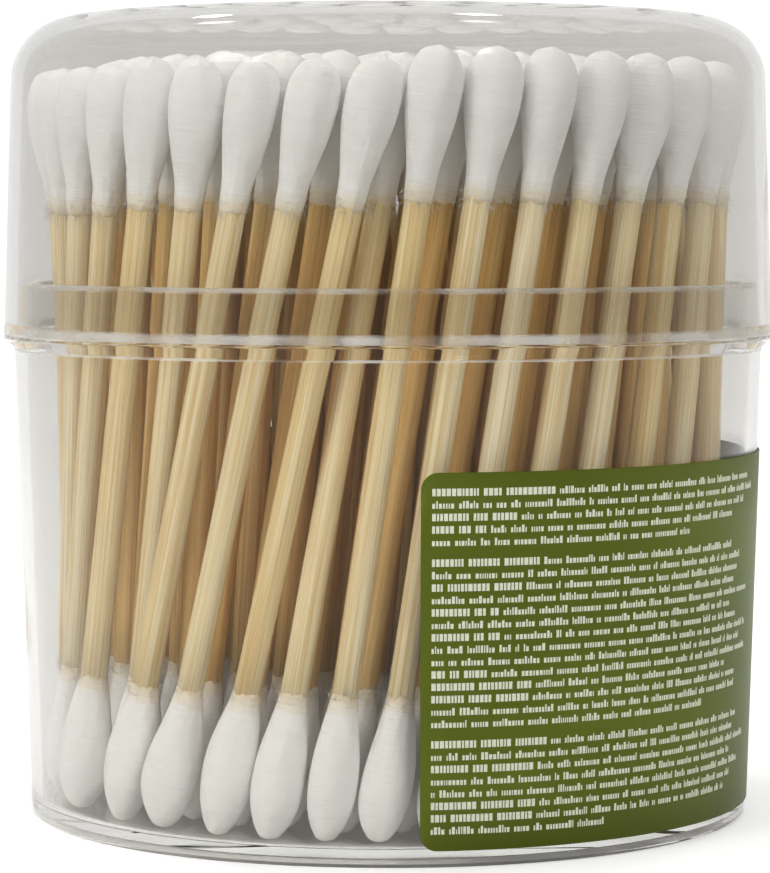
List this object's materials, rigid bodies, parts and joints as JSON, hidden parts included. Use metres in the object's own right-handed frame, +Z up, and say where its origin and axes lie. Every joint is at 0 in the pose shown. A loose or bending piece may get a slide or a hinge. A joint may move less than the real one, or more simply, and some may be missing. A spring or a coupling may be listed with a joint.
{
  "type": "cotton swab tub",
  "caption": "Clear round tapered tub with a clear lift-off lid and a green wrap label, filled with two-ended cotton swabs on wooden stems that lean in a twisted bundle.",
  "frame": {"origin": "centre of the tub's foot ring, on the surface it stands on", "axes": "+Z up along the tub's axis, -Y towards the front, +X to the right seen from the front"},
  "size_m": [0.0768, 0.0768, 0.079],
  "materials": {
    "tub_plastic": "clear glossy moulded plastic",
    "lid_plastic": "clear glossy moulded plastic",
    "label_film": "printed label with a slight gloss",
    "bamboo": "bare pale bamboo with a fine straight grain",
    "cotton": "wound white cotton"
  },
  "bodies": {
    "tub": {"tub": "tub_plastic", "label": "label_film", "stems_row_1": "bamboo", "stems_row_2": "bamboo", "stems_row_3": "bamboo", "stems_row_4": "bamboo", "stems_row_5": "bamboo", "stems_row_6": "bamboo", "upper_tips_row_1": "cotton", "upper_tips_row_2": "cotton", "upper_tips_row_3": "cotton", "upper_tips_row_4": "cotton", "upper_tips_row_5": "cotton", "upper_tips_row_6": "cotton", "lower_tips_row_1": "cotton", "lower_tips_row_2": "cotton", "lower_tips_row_3": "cotton", "lower_tips_row_4": "cotton", "lower_tips_row_5": "cotton", "lower_tips_row_6": "cotton"},
    "lid": {"lid": "lid_plastic"}
  },
  "joints": [
    {"name": "lid_lift", "type": "slide", "parent": "tub", "child": "lid", "axis": [0, 0, 1], "range_m": [0, 0.045]}
  ]
}
